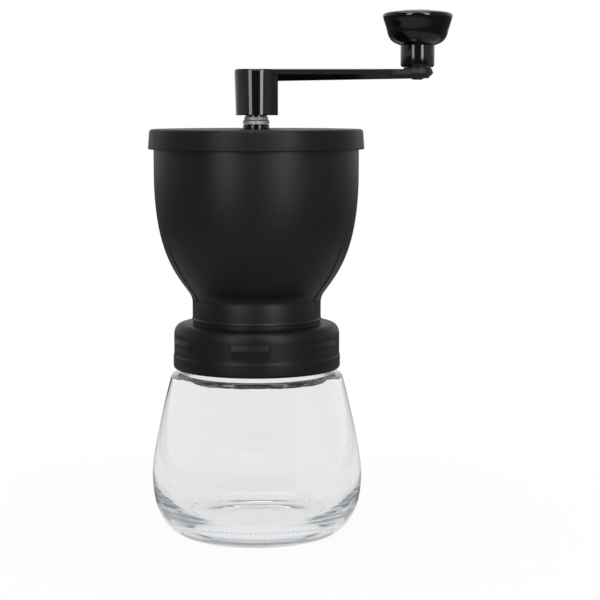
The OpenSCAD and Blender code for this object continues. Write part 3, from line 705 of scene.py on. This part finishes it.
def hopper_lid():
    """Lid with its draughted skirt, locating ring and hole boss."""
    top, foot, r = lid_high.z, lid_low.z, lid_high.x
    rim = hopper_high.z
    hole = bush_high.x + 0.4
    ring = HOPPER_R - HOPPER_WALL - 0.4
    corners = [
        (hole, top, 0.3), (hole, rim - 4, 0.2), (hole + 1.8, rim - 4, 0.3), (hole + 2.2, rim, 0.3),
        (ring - 1.6, rim, 0.3), (ring - 1.4, rim - 4.5, 0.3), (ring - 0.2, rim - 4.5, 0.3), (ring, rim, 0.3),
        (HOPPER_R + 0.35, rim, 0.3), (HOPPER_R + 0.45, foot, 0.25), (r, foot, 0.35), (r - 0.6, top, 1.5)]
    profile = densified(rounded(corners, 7), 2.5)
    obj = lathe("lid", profile, 256, smooth_angle=40)
    stands_for(obj, "lid", "satin_black", LID_SATIN, "hopper_lid")


# ---------------------------------------------------------------- knob
STEM_R = 7.1
STEM_H = 9


def knob():
    """Bell-shaped knob with a bevelled foot and a rolled rim round its cap."""
    x = (knob_low.x + knob_high.x) / 2
    r = knob_high.x - x
    foot, top = knob_low.z, cap_high.z
    stem = STEM_R
    z_stem = foot + STEM_H
    edge = top - 2.4
    cap_r = cap_high.x - x
    z_cap = cap_low.z
    bore_r = 3.07
    recess_r = 5.0
    cup = (0.87 * r, z_stem + 5.5)
    foot_round = [(stem - 0.7, foot), (stem - 0.66, foot + 0.05), (stem - 0.03, foot + 0.82),
                  (stem, foot + 0.95)]
    flare = bez3((stem, z_stem), (stem + 2.6, z_stem + 0.9), (0.8 * r, z_stem + 1.6), cup, 24)
    side = bez3(cup, (0.9 * r, z_stem + 7.8), (r - 0.15, edge - 1.4), (r, edge), 12)
    crest = bez3((r, edge), (r - 0.1, edge + 1.4), (0.8 * r, top - 0.6), (cap_r + 0.5, top - 0.4), 16)
    profile = [(bore_r, foot)] + foot_round + flare + side[1:] + crest[1:]
    profile += [(cap_r + 0.12, top - 0.5), (cap_r + 0.05, top - 0.9), (cap_r + 0.05, z_cap),
                (recess_r, z_cap), (recess_r, z_cap - 2), (bore_r, z_cap - 2)]
    obj = lathe("knob_bell", profile, 192, centre=(x, 0), smooth_angle=30)
    stands_for(obj, "knob", "gloss_black", GLOSS, "knob")


jar_glass = glass_jar()
hopper()
hopper_inside()
jar_collar()
hopper_lid()
knob()

# ---------------------------------------------------------------- carried-over CAD nodes
FINISHES = {
    "jar_seal": SILICONE, "burr_housing": SATIN, "outer_burr": CERAMIC, "housing_screws": STEEL,
    "lower_bush": ACETAL, "upper_bush": GLOSS, "shaft_sleeve": GLOSS, "drive_shaft": STEEL,
    "shaft_collar": DULL_STEEL, "spacer_washer": DULL_STEEL, "thrust_washer": STEEL,
    "retaining_clip": STEEL, "burr_spring": STEEL, "inner_burr": CERAMIC, "burr_carrier": SATIN,
    "adjusting_nut": SATIN, "nut_insert": BRASS, "crank_arm": CRANK_GLOSS,
    "knob_spindle": BLACK_STEEL, "knob_washer": SATIN, "knob_cap": GLOSS,
}
for node_name, finish in FINISHES.items():
    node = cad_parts[node_name]
    node.data.materials.clear()
    node.data.materials.append(finish)

# ---------------------------------------------------------------- stage
CAM_DISTANCE = 0.756
CAM_HEIGHT = 0.1814
CAM_PITCH = 6.183
CAM_LENS = 108
low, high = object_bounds()
cam_data = bpy.data.cameras.new("camera")
cam_data.lens = CAM_LENS
cam_data.sensor_width = 36
camera = bpy.data.objects.new("camera", cam_data)
camera.location = ((low.x + high.x) / 2, -CAM_DISTANCE, CAM_HEIGHT)
camera.rotation_euler = (math.radians(90 - CAM_PITCH), 0, 0)
scene.collection.objects.link(camera)
scene.camera = camera

# Brightness of the floor and the world, where 1 is white. A soft step is (from, to, level before it,
# level after it), in metres from the object on the floor, and in parts of a unit direction in the world.
FLOOR_SIZE = 12
FLOOR_Z = -0.0002
# near the object 4 % of the floor's lit colour shows through its white: this keeps the real shadow there and
# also paints a faint shade round the object that fades out by 0.3 m
FLOOR_SEEN = (0.045, 0.3, 0.96, 1.0)
FLOOR_THROUGH_GLASS = 0.88
# painted light and shade on the floor, seen only in reflections: a bright patch at the foot with a dim ring
# of painted shade round it, a painted pool of light, and painted bright bands far out at both sides
FLOOR_PAINTED_FOOT_LIGHT = (0.05, 0.075, 0.9, 0.1)
FLOOR_PAINTED_POOL_STARTS = (0.08, 0.12, 0.0, 0.45)
FLOOR_PAINTED_POOL_ENDS = (0.36, 0.48, 1.0, 0.25)
FLOOR_PAINTED_FAR_LEFT = (-2.4, -2.0, 0.6, 0.0)
FLOOR_PAINTED_FAR_RIGHT = (1.2, 1.6, 0.0, 0.5)
WALL_BEHIND = (-0.6, 0.8, 0.1, 0.9)
PANEL_LEFT = (-0.99, -0.94, 0.6, 0.0)
PANEL_RIGHT = (0.62, 0.72, 0.0, 0.48)
CEILING = (0.1, 0.8, 1.0, 0.35)
WORLD_THROUGH_GLASS = (0.04, 0.5, 0.9, 0.6)
WORLD_AMBIENT = 0.35


def make_floor():
    """Plain pale floor with a soft shadow round the object. It is white where it is looked at and
    through glass. In reflections it shows painted light instead of lamplight: a bright patch at the foot, a
    dim ring of painted shade round it, a painted pool of light beyond and painted bright bands far out at
    both sides."""
    bpy.ops.mesh.primitive_plane_add(size=FLOOR_SIZE, location=(0, 0, FLOOR_Z))
    floor = bpy.context.object
    floor.name = "floor"
    mat, tree, bsdf = new_material("floor")
    bsdf.inputs["Base Color"].default_value = (0.6, 0.6, 0.6, 1)
    bsdf.inputs["Roughness"].default_value = 0.9
    bsdf.inputs["Specular IOR Level"].default_value = 0.1
    place = object_coords(tree)
    radius = length_of(tree, place)
    across = axes_of(tree, place)["X"]
    path = tree.nodes.new("ShaderNodeLightPath").outputs
    # real shadow near the object, together with a faint painted shade: the share of lit floor grows towards
    # the object
    viewed = product(tree, path["Is Camera Ray"], smooth(tree, radius, *FLOOR_SEEN))
    through = product(tree, path["Is Transmission Ray"], FLOOR_THROUGH_GLASS)
    mirrored = product(tree, path["Is Glossy Ray"], one_minus(tree, path["Is Transmission Ray"]))
    amount = highest(tree, highest(tree, viewed, through), mirrored)
    # painted light: in reflections the floor's brightness comes from these masks, not from the lamps
    foot = smooth(tree, radius, *FLOOR_PAINTED_FOOT_LIGHT)
    painted_pool = product(tree, smooth(tree, radius, *FLOOR_PAINTED_POOL_STARTS), smooth(tree, radius, *FLOOR_PAINTED_POOL_ENDS))
    painted_far_light = highest(tree, smooth(tree, across, *FLOOR_PAINTED_FAR_LEFT), smooth(tree, across, *FLOOR_PAINTED_FAR_RIGHT))
    level = highest(tree, foot, highest(tree, painted_pool, painted_far_light))
    # painted shade: how much the floor's white is darkened where reflections see it
    painted_shade = product(tree, mirrored, one_minus(tree, level))
    white = tree.nodes.new("ShaderNodeEmission")
    white.inputs["Color"].default_value = (1, 1, 1, 1)
    tree.links.new(one_minus(tree, painted_shade), white.inputs["Strength"])
    mix = tree.nodes.new("ShaderNodeMixShader")
    tree.links.new(amount, mix.inputs["Fac"])
    tree.links.new(bsdf.outputs["BSDF"], mix.inputs[1])
    tree.links.new(white.outputs["Emission"], mix.inputs[2])
    tree.links.new(mix.outputs["Shader"], tree.nodes["Material Output"].inputs["Surface"])
    floor.data.materials.append(mat)


def make_world():
    """White for the camera and pale through glass. In reflections a pale wall behind the object, a
    panel at each side, a dim near side and a darker ceiling. Even and dim as a lamp."""
    world = bpy.data.worlds.new("world")
    scene.world = world
    world.use_nodes = True
    tree = world.node_tree
    tree.nodes.clear()
    out = tree.nodes.new("ShaderNodeOutputWorld")
    direction = axes_of(tree, tree.nodes.new("ShaderNodeTexCoord").outputs["Generated"])
    path = tree.nodes.new("ShaderNodeLightPath").outputs
    wall = smooth(tree, direction["Y"], *WALL_BEHIND)
    left = smooth(tree, direction["X"], *PANEL_LEFT)
    right = smooth(tree, direction["X"], *PANEL_RIGHT)
    ceiling = smooth(tree, direction["Z"], *CEILING)
    room = product(tree, highest(tree, wall, highest(tree, left, right)), ceiling)
    card = smooth(tree, direction["X"], *WORLD_THROUGH_GLASS)
    through = product(tree, path["Is Transmission Ray"], card)
    seen = highest(tree, path["Is Camera Ray"], through)
    mirrored = product(tree, path["Is Glossy Ray"], room)
    plain = product(tree, one_minus(tree, path["Is Glossy Ray"]), WORLD_AMBIENT)
    level = highest(tree, math_node(tree, "ADD", mirrored, plain), seen)
    background = tree.nodes.new("ShaderNodeBackground")
    background.inputs["Color"].default_value = (1, 1, 1, 1)
    tree.links.new(level, background.inputs["Strength"])
    tree.links.new(background.outputs["Background"], out.inputs["Surface"])


def softbox(name, azimuth, height, distance, width, tall, power, aim=(0, 0, 0.13), dark_for=()):
    """A rectangular lamp at an azimuth from the camera's side of the object, facing the aim point.
    The objects in dark_for get no light from it."""
    data = bpy.data.lights.new(name, "AREA")
    data.shape = "RECTANGLE"
    data.size = width
    data.size_y = tall
    data.energy = power
    lamp = bpy.data.objects.new(name, data)
    a = math.radians(azimuth)
    lamp.location = (math.sin(a) * distance, -math.cos(a) * distance, height)
    direction = Vector(aim) - lamp.location
    lamp.rotation_euler = direction.to_track_quat("-Z", "Y").to_euler()
    scene.collection.objects.link(lamp)
    if dark_for:
        group = bpy.data.collections.new(name + "_unlit")
        for obj in dark_for:
            group.objects.link(obj)
        for member in group.collection_objects:
            member.light_linking.link_state = "EXCLUDE"
        lamp.light_linking.receiver_collection = group


make_floor()
make_world()
# the four front lamps would leave double streaks on the jar
unlit = (jar_glass,)
# name, azimuth in degrees, then height, distance, width and height of the lamp in metres, and watts
softbox("strip_left", -31, 0.8, 1.6, 0.46, 1.6, 13.2, aim=(0, 0, 0.8), dark_for=unlit)
softbox("strip_right", 31, 0.8, 1.6, 0.42, 1.6, 16.9, aim=(0, 0, 0.8), dark_for=unlit)
softbox("high_left", -31, 1.6, 1.1, 0.4, 1.0, 7, dark_for=unlit)
softbox("high_right", 31, 1.6, 1.1, 0.4, 1.0, 9, dark_for=unlit)
softbox("top", 180, 1.8, 0.3, 1.2, 1.2, 9)

# the jar's foot and neck guide light through many inner reflections and turn black below these
scene.cycles.max_bounces = 32
scene.cycles.glossy_bounces = 12
scene.cycles.transmission_bounces = 24
scene.view_settings.view_transform = "Standard"
